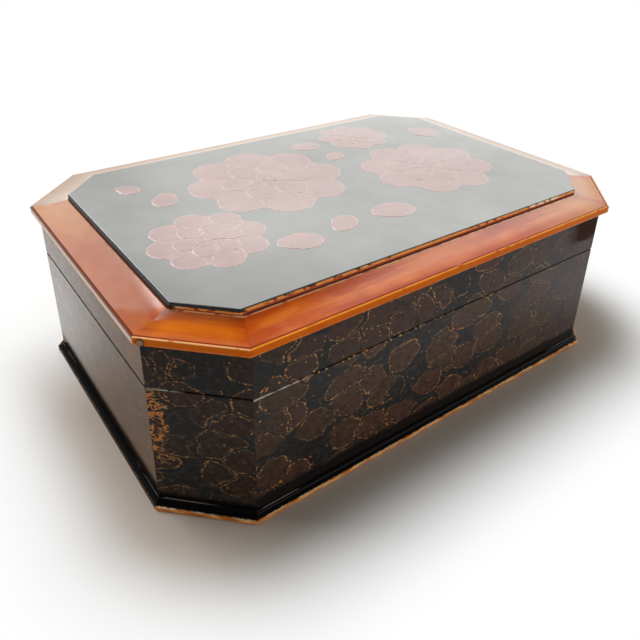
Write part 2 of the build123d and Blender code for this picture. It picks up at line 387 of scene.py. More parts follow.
def gold_patch(wall, flat):
    """Thick gold, eaten into by black, up the left edge of a wall."""
    ragged = wall.noise(flat, size=5 * MM, detail=3) - PATCH_RAGGED_MIDDLE
    there = (wall.from_left() - PATCH_RAGGED_BY * ragged).step(PATCH_WIDTH)
    tall = wall.height.step(PATCH_FOOT) * wall.height.step(PATCH_HEAD)
    net_place = wall.stirred(flat, size=3 * MM, amount=2 * MM)
    netted = abs(wall.noise(net_place, size=2.6 * MM) - PATCH_NET_MIDDLE)
    holes = wall.noise(flat, size=6.5 * MM, detail=1).step(PATCH_HOLE_SIZE)
    return there * tall * holes * netted.step(PATCH_NET_LINE) * PATCH_SHARE


SEAM_GOLD_DROP = 0.25 * MM
SEAM_GOLD_LINE = mm(0.5, 0.25)
SEAM_GOLD_BREAKS = (0.54, 0.62)
SEAM_GOLD_START = mm(-92, -82)
SEAM_GOLD_END = mm(20, -40)


def seam_gold(wall, flat):
    """Broken gold along the seam, in the left half of a wall."""
    line = abs(wall.height - SEAM + SEAM_GOLD_DROP).step(SEAM_GOLD_LINE)
    line = line * wall.noise(flat, size=1.6 * MM).step(SEAM_GOLD_BREAKS)
    return line * wall.run.step(SEAM_GOLD_START) * wall.run.step(SEAM_GOLD_END)


DARK_REFLECTION_RAGGED_BY = 10 * MM
DARK_REFLECTION_LEVEL = mm(-17.5, -13, past=FRAME_BASE)
DARK_REFLECTION_START = mm(84, 102)
DARK_REFLECTION_POLISH_LOST = 0.85
LID_POLISH_LOST = 0.12
FRONT_VARNISH = dict(coat_roughness=0.13, coat_ior=1.2)


def front_varnish(wall, smear, on_lid):
    """Varnish of the front wall, with a painted dark brown reflection under the frame at the right end,
    where the varnish is also duller.
    """
    ragged = DARK_REFLECTION_RAGGED_BY * (smear - 0.5)
    dull = (wall.height + ragged).step(DARK_REFLECTION_LEVEL) * (wall.run + ragged).step(DARK_REFLECTION_START)
    # painted dark brown reflection under the frame at the right end of the front lid wall
    wall.paint(dull, UNDER_FRAME_REFLECTION_BROWN, share=0.95)
    polish = (1 - DARK_REFLECTION_POLISH_LOST * dull) * (1 - LID_POLISH_LOST * on_lid)
    wall.coat(coat_weight=polish, **FRONT_VARNISH)


SEAM_SHADE_RISE = 0.15 * MM
SEAM_SHADE = mm(0.6, 0.35)
SEAM_POLISH = mm(0.35, 0.55)
SPECKLE, LID_SPECKLE = 0.6, 0.9
WORN_PATCHES = 0.5
LEFT_WORN_RUN = mm(-60, 70)
LEFT_WORN = 0.57
LEFT_POLISH, LEFT_LID_POLISH_LOST = 0.95, 0.25
FOOT_REFLECTION_POLISH_LOST = 0.9
LEFT_VARNISH = dict(coat_roughness=0.12, coat_ior=1.35)


def left_varnish(wall, flat, on_lid, foot):
    """Varnish of the left wall: worn to the front, speckled on the lid, and none in the seam, where painted
    shade darkens it.
    """
    from_seam = abs(wall.height - SEAM - SEAM_SHADE_RISE)
    # painted shade in the seam
    wall.paint(from_seam.step(SEAM_SHADE), PLINTH_BLACK, share=0.9)
    speckle = wall.waver(flat, size=1.8 * MM, detail=3, roughness=0.7) * (SPECKLE + LID_SPECKLE * on_lid)
    patches = wall.waver(flat, size=8 * MM, detail=3, roughness=0.6)
    polish = 1.0 - LEFT_WORN * wall.run.step(LEFT_WORN_RUN)
    polish = polish * (LEFT_POLISH - LEFT_LID_POLISH_LOST * on_lid) * (1 + WORN_PATCHES * patches + speckle)
    polish = polish * from_seam.step(SEAM_POLISH)
    wall.coat(coat_weight=polish * (1 - FOOT_REFLECTION_POLISH_LOST * foot), **LEFT_VARNISH)


DARK_MOTTLE, PALE_MOTTLE = (0.52, 0.36), (0.5, 0.66)
LID_START = mm(0, 0.3, past=SEAM)
LEFT_DUST_AND_SHEEN, LEFT_LID_DUST_AND_SHEEN = 0.45, 0.2
FRONT_DARK_END = mm(-50, -112)
FRONT_PAINTED_SHEEN = mm(0, 116)
PAINTED_SHEEN_SHARE = 0.7
GOLD_UNDER_PAINTED_SHEEN = 0.8
ARRIS_DROP = 0.15 * MM
ARRIS_LINE = mm(0.28, 0.12)
ARRIS_MOTTLE = (0.35, 0.5)
HIGHLIGHT_CROWD = (0.5, 0.62)
FRONT_HIGHLIGHT_RUN = mm(-84, -96)
INSIDE_DEPTH = mm(2, 2.5)
FOOT_REFLECTION = by_side(mm(14, 10.5), canted=mm(9, 6.5), left=mm(17, 8))
FOOT_REFLECTION_RAGGED_BY = 4 * MM
WALL_ROUGHNESS, SMEAR_ROUGHNESS, GOLD_ROUGHNESS = 0.09, 0.09, 0.06
GRAIN_RELIEF, PEBBLE_RELIEF = 0.25, 0.2  # of the gold's relief
GOLD_RELIEF = 0.035 * MM
WALL_GLOSS = by_side(1.23, canted=1.15, front=1.03, left=1.04)


def paint_wall(wall, pebble, lot, mottle, on_lid):
    """Pebbles on their ground and mottled, with painted shade on the pebbles of the canted sides; the left
    wall has a dusty brown that is partly painted sheen, more on the lid, and the other walls are darker on
    the lid.
    """
    stone = wall.mixed(lot, PEBBLE_BROWN, PEBBLE_OLIVE)
    if wall.side in CANTED_SIDES:
        stone = wall.mixed(CANT_DARKER, stone, BLACK)
    wall.colour = wall.mixed(pebble, GROUND, stone)
    wall.paint(mottle.step(DARK_MOTTLE), BLACK, share=0.6)
    wall.paint(mottle.step(PALE_MOTTLE), DUST_AND_SHEEN_GREY, share=0.6)
    if wall.side == "left":
        # a dusty brown on the left wall that is partly a warm painted sheen
        wall.paint(LEFT_DUST_AND_SHEEN + LEFT_LID_DUST_AND_SHEEN * on_lid, DUST_AND_SHEEN_BROWN)
    else:
        wall.paint(on_lid, BLACK, share=0.3)


def pebble_lacquer(number):
    """The finish of one side's walls, of the body and of the lid."""
    wall = SideFinish("pebble_lacquer", "body_wall", number)
    flat = wall.point(wall.run * PATTERN_DRAW + number * PATTERN_SHIFT, wall.height)
    crowd = wall.noise(flat, size=38 * MM, detail=1)
    mottle = wall.noise(flat, size=3 * MM, detail=4, roughness=0.75)
    smear = wall.noise(flat, size=9 * MM, detail=3)
    on_lid = wall.height.step(LID_START)
    inside = wall.inset.step(INSIDE_DEPTH)
    rim, lot = pebbles(wall, flat)
    pebble = rim.step(PEBBLE_RIM) * lot.step(PEBBLE_LOTS)

    gold = outline_gold(wall, flat, rim, crowd)
    rusty = crowd.step(RUSTY_CROWD) * RUSTY_SHARE
    highlight_stretches = crowd.step(HIGHLIGHT_CROWD)
    if wall.side == "front_left":
        patch = gold_patch(wall, flat)
        gold = gold | patch
        rusty = rusty | patch * PATCH_RUST
    if wall.side == "front":
        gold = gold | seam_gold(wall, flat)
        highlight_stretches = wall.run.step(FRONT_HIGHLIGHT_RUN)
    gold = gold * (1 - inside)

    paint_wall(wall, pebble, lot, mottle, on_lid)
    if wall.side == "front":
        wall.paint(wall.run.step(FRONT_DARK_END), BLACK, share=0.3)
        # a grey painted sheen over the right part of the front wall, which dims the gold under it
        painted_sheen = wall.run.step(FRONT_PAINTED_SHEEN) * PAINTED_SHEEN_SHARE
        wall.paint(painted_sheen, DUST_AND_SHEEN_GREY)
        gold = gold * (1 - GOLD_UNDER_PAINTED_SHEEN * painted_sheen)
    # a painted highlight along the top arris of the body walls, in stretches
    arris = abs(wall.height - SEAM + ARRIS_DROP).step(ARRIS_LINE) * highlight_stretches
    wall.paint(arris * mottle.step(ARRIS_MOTTLE), ARRIS_HIGHLIGHT, share=0.9)
    wall.paint(inside, INSIDE_BLACK)
    wall.paint(gold, wall.mixed(rusty, GOLD, RUST_GOLD))
    if wall.side == "front":
        front_varnish(wall, smear, on_lid)
    # painted dark reflection of the plinth along the foot of each wall
    foot = (wall.height + FOOT_REFLECTION_RAGGED_BY * (smear - 0.5)).step(FOOT_REFLECTION[wall.side])
    wall.paint(foot, PLINTH_BLACK, share=0.95)
    if wall.side == "left":
        left_varnish(wall, flat, on_lid, foot)

    roughness = WALL_ROUGHNESS + SMEAR_ROUGHNESS * smear + GOLD_ROUGHNESS * gold
    grain = wall.noise(flat, size=2.2 * MM, detail=1)
    relief = wall.bump(gold + GRAIN_RELIEF * grain + PEBBLE_RELIEF * pebble, GOLD_RELIEF)
    gloss = WALL_GLOSS[wall.side]
    return wall.coat(base_color=wall.colour, roughness=roughness, normal=relief, ior=gloss)


# Frame: amber lacquer with streaks along each length

AMBER = tone(198, 99, 12)
AMBER_DEEP = tone(168, 62, 10)
AMBER_GOLD = tone(216, 124, 26)
AMBER_RED = tone(152, 74, 28)
AMBER_TAN = tone(178, 124, 50)
AMBER_BROWN = tone(134, 100, 56)
AMBER_DARK = tone(84, 26, 8)
EDGE_PALE = tone(206, 142, 92)
# the pale tone on the left is painted reflection
EDGE_TONES = by_side(tone(188, 92, 8), left=tone(196, 176, 158))
ARRIS_WEAR_AND_HIGHLIGHT_TONES = by_side(tone(240, 184, 124), front=tone(244, 150, 44))
CREST_HIGHLIGHT_CREAM = tone(232, 178, 132)

LENGTH_SHIFT = 0.1  # metres of bands and clouds from one length to the next
STREAK_DRAW = 0.07
BAND_DRAW = 0.12
AMBER_MIX = (0.4, 0.62)
GOLD_STREAKS = (0.55, 0.75)
LOW_SLOPE = mm(4.5, 1.2)
LOW_CLOUDS = (0.3, 0.6)
# tones that stand in for the light and reflection that each length shows: painted light
PAINTED_LIGHT_TINTS = {  # how far a length goes towards a tone
    "left": (0.8, AMBER_RED),
    "front_left": (0.25, AMBER_GOLD),
    "front_right": (0.6, AMBER_TAN),
    **{side: (0.9, AMBER_BROWN) for side in FAR_SIDES},
}
TINT_FROM_MITRE = mm(0, 6)
# tan ends of two lengths: painted reflection
TAN_REFLECTION_ENDS = {"left": mm(10, -80), "front": mm(40, 125)}
JOINT_SHADE = mm(7, 0)
JOINT_CLOUDS = (0.4, 0.6)
JOINT_SHADE_SHARE = 0.35
JOINT_LINE = mm(0.3, 0.1)
JOINT_LINE_SHARE = 0.3


def streaked_amber(length, mitre, streaks, bands, clouds):
    """Amber with streaks and bands along a length, dark in the mitres, with a tone on some sides and tan
    ends that are painted light and reflection.
    """
    deep_or_pale = (0.5 * bands + 0.5 * clouds).step(AMBER_MIX)
    length.colour = length.mixed(deep_or_pale, AMBER_DEEP, AMBER)
    length.paint(streaks.step(GOLD_STREAKS), AMBER_GOLD, share=0.5)
    below = length.inset.step(LOW_SLOPE) * clouds.step(LOW_CLOUDS)
    length.paint(below, AMBER_DEEP, share=0.5)
    if length.side in PAINTED_LIGHT_TINTS:
        share, tint = PAINTED_LIGHT_TINTS[length.side]
        from_mitre = 1.0 if length.side in FAR_SIDES else mitre.step(TINT_FROM_MITRE)
        length.paint(from_mitre, tint, share)
    if length.side in TAN_REFLECTION_ENDS:
        length.paint(length.run.step(TAN_REFLECTION_ENDS[length.side]), AMBER_TAN, share=0.55)
    joint = mitre.step(JOINT_SHADE) * clouds.step(JOINT_CLOUDS) * JOINT_SHADE_SHARE
    joint = joint | mitre.step(JOINT_LINE) * JOINT_LINE_SHARE
    length.paint(joint, AMBER_DARK)


EDGE_BAND = mm(0.9, 0.6)
EDGE_LOWER = mm(3, 1, past=FRAME_BASE)
EDGE_LOWER_CHIPS = (0.2, 0.7)
EDGE_WEAR_AND_HIGHLIGHT = mm(1.7, 1.1, past=FRAME_BASE)
EDGE_WEAR_AND_HIGHLIGHT_CHIPS = (0.3, 0.6)


def outer_edge(length, chipped):
    """The upright outer edge of a length: its own tone, with a pale painted reflection on the left length,
    deeper lower down, and paler along the bottom, where it is worn and has a painted highlight.
    """
    edge = length.inset.step(EDGE_BAND)
    length.paint(edge, EDGE_TONES[length.side], share=0.75)
    if length.side != "left":
        lower = length.height.step(EDGE_LOWER) * chipped.step(EDGE_LOWER_CHIPS)
        length.paint(edge * lower, AMBER_DEEP, share=0.5)
    # paler along the bottom: wear, and a painted highlight on the lower lip
    worn = length.height.step(EDGE_WEAR_AND_HIGHLIGHT) * chipped.step(EDGE_WEAR_AND_HIGHLIGHT_CHIPS)
    length.paint(edge * worn, EDGE_PALE, share=0.4)
    return edge


VARNISH = by_side(  # at the outer edge and at the crest of each length
    (1.0, 1.0), front=(0.3, 0.9), front_right=(0.6, 0.95), left=(0.8, 0.85), front_left=(0.4, 0.0)
)
VARNISH_IOR = by_side(1.5, **{side: 2.0 for side in FAR_SIDES})
VARNISH_ROUGHNESS = 0.08
VARNISH_CLIMB = mm(2, 12)
SOFT_MITRE = 5 * MM
RIPPLE_DRAW = 0.1
RIPPLES, CLOUDINESS = 0.25, 0.2


def frame_polish(length, before, after, clouds):
    """Varnish of a length, that goes over softly into the next length's at either mitre."""
    climb = length.inset.step(VARNISH_CLIMB)
    ends = [VARNISH[side_name(length.number + turn)] for turn in (0, -1, 1)]
    polish, *beyond = [low + (high - low) * climb for low, high in ends]
    for inset, other in zip((before, after), beyond):
        polish = polish + (other - polish) * (inset - length.inset).step((SOFT_MITRE, -SOFT_MITRE))
    ripples = length.waver(length.point(length.run, length.inset * RIPPLE_DRAW), size=2.2 * MM)
    return polish + CLOUDINESS * (clouds - 0.5) + RIPPLES * ripples


FRAME_ARRIS = FRAME_BASE + 4.25 * MM
LEFT_RIM = mm(1.7, 1.3)
LEFT_RIM_LEVEL = mm(-0.6, -0.3, past=FRAME_ARRIS)
LEFT_SHEEN_RUN = mm(-100, 60)
LEFT_SHEEN, LEFT_SHEEN_MORE = 0.68, 0.5
BLOTCH_DRAW = 0.6
BLOTCHED, BLOTCHES = 1.05, 0.7
NEAR_CORNER = mm(19, 13)
NEAR_CORNER_RAGGED_BY = 14 * MM
NEAR_CORNER_SLANT = 0.1
NEAR_CORNER_POLISH_LOST = 0.65


def left_length_wear(length, after, polish):
    """A dark rim on the left length, and its polish, blotched and dull by the front corner."""
    rim = length.inset.step(LEFT_RIM) * length.height.step(LEFT_RIM_LEVEL)
    length.paint(rim, AMBER_DARK, share=0.9)
    polish = polish * (1 - rim)
    polish = polish * (LEFT_SHEEN + LEFT_SHEEN_MORE * length.run.step(LEFT_SHEEN_RUN))
    blotches = length.waver(length.point(length.run * BLOTCH_DRAW, length.inset), size=6 * MM, detail=3)
    from_corner = after - NEAR_CORNER_SLANT * length.inset - NEAR_CORNER_RAGGED_BY * blotches
    near_corner = from_corner.step(NEAR_CORNER)
    return polish * (BLOTCHED + BLOTCHES * blotches) * (1 - NEAR_CORNER_POLISH_LOST * near_corner)


FRONT_DULL_PATCHES = (0.47, 0.53)
FRONT_DULL_RUN = mm(-60, -95)
FRONT_DULL_POLISH_LOST = 0.5


def front_length_wear(length, polish):
    """Dull patches at the left end of the front length, and its polish."""
    patches = length.noise(length.point(length.run * BLOTCH_DRAW, length.inset), size=11 * MM, detail=1)
    dull = patches.step(FRONT_DULL_PATCHES) * length.run.step(FRONT_DULL_RUN)
    length.paint(dull, AMBER_DEEP, share=0.4)
    return polish * (1 - FRONT_DULL_POLISH_LOST * dull)


DARK_LINE_SIDES = ["front_left", "front", "front_right"]
DARK_LINE_INSET = 1.4 * MM
DARK_LINE = mm(0.5, 0.2)
DARK_LINE_CHIPS = (0.2, 0.45)
FRAME_ARRIS_LEVEL = mm(-0.55, -0.1, past=FRAME_ARRIS)
FRAME_ARRIS_CHIPS = (0.3, 0.5)


def arris_line_and_highlight(length, edge, chipped, polish):
    """A dark line along the top just inside the arris, the chipped arris paler with wear and painted
    highlight, and the polish that the line leaves.
    """
    dark_line = abs(length.inset - DARK_LINE_INSET).step(DARK_LINE) * chipped.step(DARK_LINE_CHIPS)
    length.paint(dark_line, AMBER_DARK, share=0.8)
    # the arris paler with wear and painted highlight
    arris = edge * length.height.step(FRAME_ARRIS_LEVEL) * chipped.step(FRAME_ARRIS_CHIPS)
    length.paint(arris, ARRIS_WEAR_AND_HIGHLIGHT_TONES[length.side], share=0.9)
    return polish * (1 - dark_line)


CREST_INSET = 18.1 * MM
CREST_HIGHLIGHT = mm(-0.9, -0.1, past=CREST_INSET)
CREST_HIGHLIGHT_CHIPS = (0.35, 0.55)
CREST_HIGHLIGHT_SHARE = by_side(0.8, left=0.15)
CREST_SHADE = (10 * MM, CREST_INSET)
GROOVE_SHADE = mm(0.3, 0.7, past=CREST_INSET)
UNDERSIDE = mm(0.6, 0.2, past=FRAME_BASE)
UNDERSIDE_BLACK = mm(12, 12.5)


def crest_and_underside(length, edge, chipped):
    """Painted shade by the panel on the front left length, a painted highlight on the crest, painted shade
    in the groove behind it, the peg's ring, and the dark underside.
    """
    if length.side == "front_left":
        length.paint(length.inset.step(CREST_SHADE), AMBER_DARK, share=0.6)
    # painted highlight along the crest
    crest = length.inset.step(CREST_HIGHLIGHT) * chipped.step(CREST_HIGHLIGHT_CHIPS)
    length.paint(crest, CREST_HIGHLIGHT_CREAM, share=CREST_HIGHLIGHT_SHARE[length.side])
    # painted shade in the groove by the panel
    length.paint(length.inset.step(GROOVE_SHADE), AMBER_DARK)
    if length.side in CANTED_SIDES:
        length.paint(peg_ring(length) * edge, AMBER_DARK, share=0.75)
    under = length.height.step(UNDERSIDE)
    length.paint(under, AMBER_DARK)
    length.paint(length.inset.step(UNDERSIDE_BLACK) * under, INSIDE_BLACK)


PEG_RING = 0.35 * MM
PEG_RING_CORE = 0.6  # share of the ring that is fully dark
PEG_END = 1 * MM  # points as near as this to a peg's outermost one lie on its end


def peg_ring(length):
    """A dark line round the peg in a length's outer edge."""
    direction = outward(length.number)
    pegs = [vertex.co for vertex in nodes["frame_corner_pegs"].data.vertices]
    outermost = reach("frame_corner_pegs", direction)
    face = [point for point in pegs if point.dot(direction) > outermost - PEG_END]
    places = [point.dot(lengthwise(length.number)) for point in face]
    levels = [point.z for point in face]
    size = half_span(levels)
    radius = straight(length.run - middle(places), length.height - middle(levels))
    return radius.step((size + PEG_RING, size + PEG_RING_CORE * PEG_RING))


FRAME_ROUGHNESS, CLOUD_ROUGHNESS, STREAK_ROUGHNESS = 0.11, 0.08, 0.08
FRAME_GLOSS = 1.1
MITRE_ROUND = 0.13 * MM
STREAK_RELIEF = 0.3  # of the rounding at a mitre


def amber_lacquer(number):
    """The finish of one frame length: streaked amber under varnish, worn, and with painted light and
    reflection, as each side is.
    """
    length = SideFinish("amber_lacquer", "frame", number)
    before = length.behind(number - 1)
    after = length.behind(number + 1)
    mitre = (before - length.inset).maths("MINIMUM", after - length.inset)
    streak_place = length.point(length.run * STREAK_DRAW, length.inset, length.height)
    streaks = length.noise(streak_place, size=1.6 * MM, detail=3, roughness=0.6)
    shifted = length.inset + number * LENGTH_SHIFT
    bands = length.noise(length.point(length.run * BAND_DRAW, shifted, length.height), size=6 * MM)
    clouds = length.noise(length.point(length.run, shifted, length.height), size=28 * MM, detail=3)
    chipped = length.noise(length.point(length.run, length.height), size=5 * MM, detail=3)

    streaked_amber(length, mitre, streaks, bands, clouds)
    edge = outer_edge(length, chipped)
    polish = frame_polish(length, before, after, clouds) * (1 - edge)
    if length.side == "left":
        polish = left_length_wear(length, after, polish)
    if length.side == "front":
        polish = front_length_wear(length, polish)
    if length.side in DARK_LINE_SIDES:
        polish = arris_line_and_highlight(length, edge, chipped, polish)
    crest_and_underside(length, edge, chipped)

    roughness = FRAME_ROUGHNESS + CLOUD_ROUGHNESS * clouds + STREAK_ROUGHNESS * streaks
    flank = length.node("MapRange", None, {0: mitre, 1: 0, 2: SOFT_MITRE})
    relief = length.bump(flank * (2 - flank) + STREAK_RELIEF * streaks, MITRE_ROUND)
    length.coat(coat_weight=polish, coat_roughness=VARNISH_ROUGHNESS, coat_ior=VARNISH_IOR[length.side])
    return length.coat(base_color=length.colour, roughness=roughness, normal=relief, ior=FRAME_GLOSS)


# Plinth: black lacquer with a gilt foot edge

GILT = tone(255, 188, 114)
GILT_WORN = tone(198, 116, 56)
GILT_CREAM = tone(254, 228, 182)
GILT_LEFT_DARK = tone(52, 36, 28)
GILT_LEVEL = 2.2 * MM
GILT_TOP = mm(0.08, -0.08, past=GILT_LEVEL)
GILT_DEPTH = mm(0.75, 0.55)
GILT_RAGGED_BY = 0.3 * MM
GILT_WEAR = (0.35, 0.7)
GILT_HIGHLIGHT_LEVEL = mm(-0.5, -0.2, past=GILT_LEVEL)
GILT_HIGHLIGHT_BREAKS = (0.42, 0.58)
WEAR_DRAW = 0.3
TOP_ARRIS_LEVEL = PLINTH_TOP - 0.3 * MM
TOP_ARRIS_LINE = mm(0.35, 0.15)
TOP_ARRIS_FROM_CORNER = mm(32, 18)
TOP_ARRIS_BREAKS = (0.36, 0.44)
TOP_ARRIS_SHARE = 0.22
PLINTH_ROUGHNESS, WEAR_ROUGHNESS, GILT_ROUGHNESS = 0.07, 0.06, 0.28
GILT_METAL = 0.35
GILT_RELIEF = 0.05 * MM
RAGGED_RELIEF = 0.3  # of the gilt's relief
PLINTH_GLOSS = by_side(1.11, canted=1.07, left=1.04)


def plinth_lacquer(number):
    """The finish of one plinth length: gilt at the foot with a painted highlight along its top, dark brown
    gilt on the left, and a painted highlight along the top of the plinth near a corner.
    """
    plinth = SideFinish("plinth_lacquer", "plinth", number)
    if plinth.side in CANTED_SIDES:
        from_corner = plinth.from_left()
    else:
        from_corner = reach(f"plinth_{plinth.side}", lengthwise(number)) - abs(plinth.run)
    run = plinth.run + number * PATTERN_SHIFT
    ragged = plinth.noise(plinth.point(run, plinth.height), size=2.4 * MM, detail=3)
    wear = plinth.noise(plinth.point(run * WEAR_DRAW, plinth.height), size=3 * MM, detail=3)
    # a painted highlight along the top arris of the plinth near a corner
    arris = abs(plinth.height - TOP_ARRIS_LEVEL).step(TOP_ARRIS_LINE)
    arris = arris * from_corner.step(TOP_ARRIS_FROM_CORNER) * wear.step(TOP_ARRIS_BREAKS)
    lacquer = plinth.mixed(arris * TOP_ARRIS_SHARE, PLINTH_BLACK, ARRIS_HIGHLIGHT)
    top = plinth.height + GILT_RAGGED_BY * (ragged - 0.5)
    gilt = top.step(GILT_TOP) * plinth.inset.step(GILT_DEPTH)
    plinth.colour = plinth.mixed(wear.step(GILT_WEAR), GILT_WORN, GILT)
    # painted highlight in stretches along the top of the gilt
    plinth.paint(top.step(GILT_HIGHLIGHT_LEVEL) * wear.step(GILT_HIGHLIGHT_BREAKS), GILT_CREAM)
    # the gilt of the left length is painted over in dark brown
    if plinth.side == "left":
        plinth.paint(1, GILT_LEFT_DARK, share=0.95)
    colour = plinth.mixed(gilt, lacquer, plinth.colour)
    roughness = PLINTH_ROUGHNESS + WEAR_ROUGHNESS * wear + GILT_ROUGHNESS * gilt
    relief = plinth.bump(gilt + RAGGED_RELIEF * ragged, GILT_RELIEF)
    plinth.coat(base_color=colour, roughness=roughness, metallic=GILT_METAL * gilt)
    return plinth.coat(normal=relief, ior=PLINTH_GLOSS[plinth.side])


# Raised panel: hazy black lacquer, gilt and amber round its foot, with a flower inlay

INLAY = 0.2 * MM  # how far the inlay stands above the panel
PANEL_TOP = PANEL_HIGH.z - INLAY
PANEL_BLACK = (0.0095, 0.011, 0.0095, 1)
PANEL_GREEN = (0.016, 0.019, 0.015, 1)
LEDGE_GOLD = tone(234, 154, 68)
PETAL_RED = (0.135, 0.023, 0.021, 1)
PETAL_ROSE = (0.20, 0.047, 0.037, 1)
PETAL_LINE = (0.31, 0.14, 0.11, 1)

HAIRLINE_RUN = (0.9, 0.44, 0)
HAIRLINE_ACROSS = (-30, 60, 0)  # so many times over that spots of the noise become hairlines
PANEL_ROUGHNESS, HAZE_ROUGHNESS, HAIRLINE_ROUGHNESS = 0.13, 0.1, 0.05
PANEL_POLISH, HAZE_POLISH, HAIRLINE_POLISH = 0.5, 0.75, 0.2
PANEL_GLOSS = dict(ior=1.5, coat_roughness=0.06, coat_ior=1.6)
HAZE_RELIEF = 0.02 * MM
HAIRLINE_RELIEF = 0.2  # of the haze's relief


def hazy_gloss(finish):
    """The panel's polish: hairlines and cloudy haze in the gloss."""
    haze = finish.noise(finish.place, size=38 * MM, detail=5, roughness=0.62)
    combed = finish.point(finish.along(HAIRLINE_RUN), finish.along(HAIRLINE_ACROSS))
    hairlines = finish.noise(combed, size=9 * MM)
    roughness = PANEL_ROUGHNESS + HAZE_ROUGHNESS * haze + HAIRLINE_ROUGHNESS * hairlines
    relief = finish.bump(haze + HAIRLINE_RELIEF * hairlines, HAZE_RELIEF)
    polish = PANEL_POLISH + HAZE_POLISH * haze + HAIRLINE_POLISH * hairlines
    return dict(roughness=roughness, normal=relief, coat_weight=polish, **PANEL_GLOSS)


LEDGE_DROP = 0.8 * MM  # from the panel's top to the gilt ledge round it
LEDGE_WIDTH = 0.5 * MM
PANEL_RAGGED_BY = 0.35 * MM
CANT_LOWER = 0.8 * MM  # how much lower the gilding lies on the front left cant
CANT_EDGE = mm(1.5, 0.7)
AMBER_DROP = mm(-0.1, 0, past=LEDGE_DROP)
GILDING_DROP = LEDGE_DROP + 0.2 * MM
GILDING_BAND = mm(0.6, 0.4)
GILDING_FLAKES = (0.37, 0.46)
GILDING_CREAM = (0.55, 0.65)
GILDING_START = mm(0.3, 2, past=PANEL_LOW.x)
FOOT_SHADE_DROP = mm(1.9, 2.7)
PANEL_SIDE_TOP = mm(-0.02, -0.1, past=PANEL_TOP)
PANEL_SIDE_ROUGHNESS = 0.4


def panel_lacquer():
    """Black on the panel's top, amber with flaked gilding on the ledge, but none on the left, and painted
    shade at the foot.
    """
    finish = Finish("panel_lacquer")
    height = finish.along(UP)
    ragged = finish.noise(finish.place, size=3.2 * MM, detail=3)
    clouds = finish.noise(finish.place, size=24 * MM, detail=3)
    cant = outward(SIDES.index("front_left"))
    on_cant = (reach("top_panel", cant) - finish.along(cant)).step(CANT_EDGE)
    drop = PANEL_TOP - height + PANEL_RAGGED_BY * (ragged - 0.5) - CANT_LOWER * on_cant
    finish.colour = finish.mixed(clouds, PANEL_BLACK, PANEL_GREEN)
    finish.paint(drop.step(AMBER_DROP), AMBER_DEEP)
    flaked = abs(drop - GILDING_DROP).step(GILDING_BAND) * ragged.step(GILDING_FLAKES)
    not_left = finish.along(RIGHT).step(GILDING_START)
    gilding = finish.mixed(clouds.step(GILDING_CREAM), LEDGE_GOLD, GILT_CREAM)
    finish.paint(flaked * not_left, gilding)
    finish.paint(1 - not_left, PANEL_BLACK)
    # painted shade at the foot of the panel's side
    finish.paint(drop.step(FOOT_SHADE_DROP), AMBER_DARK)
    dull = height.step(PANEL_SIDE_TOP)
    gloss = hazy_gloss(finish)
    gloss["roughness"] = gloss["roughness"] + PANEL_SIDE_ROUGHNESS * dull
    gloss["coat_weight"] = gloss["coat_weight"] * (1 - dull)
    return finish.coat(base_color=finish.colour, **gloss)


def inlay_finish(name, mix, under, over, **noise):
    """Two mottled tones under the panel's polish."""
    finish = Finish(name)
    mottle = finish.noise(finish.place, **noise)
    colour = finish.mixed(mottle.step(mix), under, over)
    return finish.coat(base_color=colour, **hazy_gloss(finish))


# Small finishes: inside, pegs and hinges

INSIDE_BROWN = tone(44, 32, 27)
INSIDE_BRUSH_DRAW = 0.1
INSIDE_ROUGHNESS, INSIDE_CLOUD_ROUGHNESS = 0.28, 0.15
INSIDE_RELIEF = 0.03 * MM

PEG_BROWN = tone(104, 72, 32)
PEG_TAN = tone(150, 98, 46)
PEG_DARK = tone(66, 40, 20)
PEG_DARK_RIM = (0.62, 0.8)  # of the peg's radius
PEG_ROUGHNESS, PEG_GRAIN_ROUGHNESS = 0.35, 0.2
PEG_RELIEF = 0.05 * MM

BRASS = tone(206, 168, 96)
BRASS_TARNISHED = tone(128, 92, 46)
BRASS_BRUSH_DRAW = 0.05
TARNISH_MIX = (0.35, 0.7)
BRASS_ROUGHNESS, TARNISH_ROUGHNESS = 0.25, 0.25
BRASS_RELIEF = 0.02 * MM


def inside_lacquer():
    """Plain dark lacquer, brushed along the box."""
    finish = Finish("inside_lacquer")
    brushed_place = finish.point(finish.along(RIGHT * INSIDE_BRUSH_DRAW), finish.along(DEEP))
    relief = finish.bump(finish.noise(brushed_place, size=3 * MM, detail=3), INSIDE_RELIEF)
    clouds = finish.noise(finish.place, size=40 * MM, detail=3)
    colour = finish.mixed(clouds, INSIDE_BLACK, INSIDE_BROWN)
    roughness = INSIDE_ROUGHNESS + INSIDE_CLOUD_ROUGHNESS * clouds
    return finish.coat(base_color=colour, roughness=roughness, normal=relief)


def peg_wood():
    """End grain with a dark rim, on all four pegs: they lie alike about the middle of the box."""
    finish = Finish("peg_wood")
    points = [vertex.co for vertex in nodes["frame_corner_pegs"].data.vertices]
    places = [(abs(point.x) - abs(point.y)) / sqrt(2) for point in points]
    levels = [point.z for point in points]
    size = half_span(levels)
    sideways = (abs(finish.along(RIGHT)) - abs(finish.along(DEEP))) * (1 / sqrt(2)) - middle(places)
    radius = straight(sideways, finish.along(UP) - middle(levels))
    grain = finish.noise(finish.place, size=0.7 * MM, detail=3)
    finish.colour = finish.mixed(grain, PEG_BROWN, PEG_TAN)
    finish.paint(radius.step([share * size for share in PEG_DARK_RIM]), PEG_DARK)
    roughness = PEG_ROUGHNESS + PEG_GRAIN_ROUGHNESS * grain
    return finish.coat(base_color=finish.colour, roughness=roughness, normal=finish.bump(grain, PEG_RELIEF))


